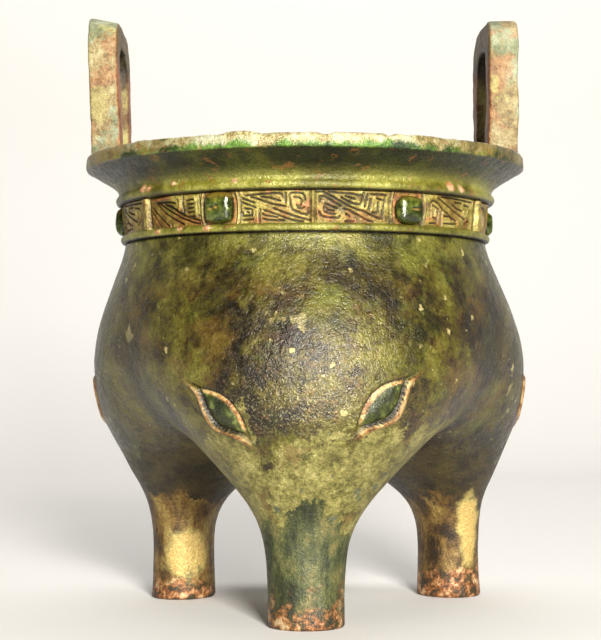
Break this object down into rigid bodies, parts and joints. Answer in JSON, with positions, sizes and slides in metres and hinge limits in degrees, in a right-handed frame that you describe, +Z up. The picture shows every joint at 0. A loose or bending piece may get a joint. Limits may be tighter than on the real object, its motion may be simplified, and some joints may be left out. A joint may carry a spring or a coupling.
{
  "type": "bronze ding vessel",
  "caption": "Cast bronze ritual cooking vessel: round rim and frieze over a lobed body that runs down into tripod legs, with upright loop handles on the rim.",
  "frame": {"origin": "on the ground, under the middle of the vessel's plan box", "axes": "+Z up, from the feet to the handles; -Y towards the front leg; the handles stand at -X and +X"},
  "size_m": [0.1664, 0.1688, 0.2186],
  "materials": {
    "patinated_bronze": "old bronze with a green, brown and cream patina"
  },
  "bodies": {
    "root": {"ding_vessel": "patinated_bronze"}
  },
  "joints": []
}
